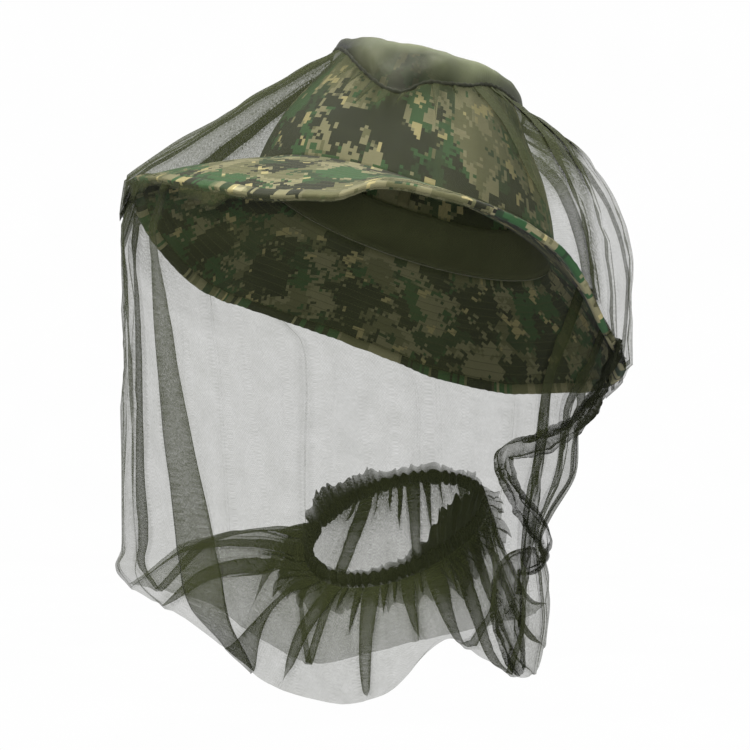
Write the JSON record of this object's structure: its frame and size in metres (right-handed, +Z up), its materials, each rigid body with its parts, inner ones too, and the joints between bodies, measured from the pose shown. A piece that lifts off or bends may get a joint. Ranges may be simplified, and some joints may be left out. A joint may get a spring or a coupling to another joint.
{
  "type": "bee veil on a brimmed hat",
  "caption": "Fine net bee veil over a soft camouflage hat: oval top panel, full net skirt spread by the brim, and a gathered elastic neck collar.",
  "frame": {"origin": "centre of the hat's head opening, at the root of the brim", "axes": "+Z up, -Y to the wearer's front (face), +X to the wearer's left; the hat is stored as worn, tipped back and a little to the wearer's right"},
  "size_m": [0.3098, 0.3316, 0.4142],
  "materials": {
    "camo_cotton": "matte",
    "hat_lining": "matte",
    "stiffener": "matte",
    "edge_tape": "matte",
    "net": "matte",
    "panel": "satin",
    "elastic": "matte",
    "gathers": "matte"
  },
  "bodies": {
    "hat": {"hat_brim_edge_binding": "edge_tape", "hat_brim_lower": "hat_lining", "hat_brim_stiffener": "stiffener", "hat_brim_upper": "camo_cotton", "hat_crown_seam_tape": "edge_tape", "hat_crown_side_back": "camo_cotton", "hat_crown_side_front": "camo_cotton", "hat_crown_top": "camo_cotton", "hat_side_seam_tape_left": "edge_tape", "hat_side_seam_tape_right": "edge_tape", "hat_sweatband": "hat_lining", "veil_crown_panel": "panel", "veil_crown_seam_binding": "gathers", "veil_net_back_skirt": "net", "veil_net_back_upper": "net", "veil_net_front_skirt": "net", "veil_net_front_upper": "net", "veil_side_seam_left": "gathers", "veil_side_seam_right": "gathers"},
    "net_pouch": {"veil_net_front_pouch": "net", "veil_net_back_pouch": "net"},
    "collar": {"neck_elastic": "elastic", "collar_casing": "gathers", "collar_heading_frill": "gathers", "collar_skirt_frill": "gathers"}
  },
  "joints": [
    {"name": "collar_lift", "type": "slide", "parent": "hat", "child": "net_pouch", "axis": [0, 0, 1], "range_m": [0, 0.06], "deforming": ["veil_net_front_pouch", "veil_net_back_pouch"]},
    {"name": "collar_turn", "type": "hinge", "parent": "net_pouch", "child": "collar", "pos_m": [0, -0.004, -0.199], "axis": [0, 0, 1], "range_deg": [-25, 25]}
  ]
}
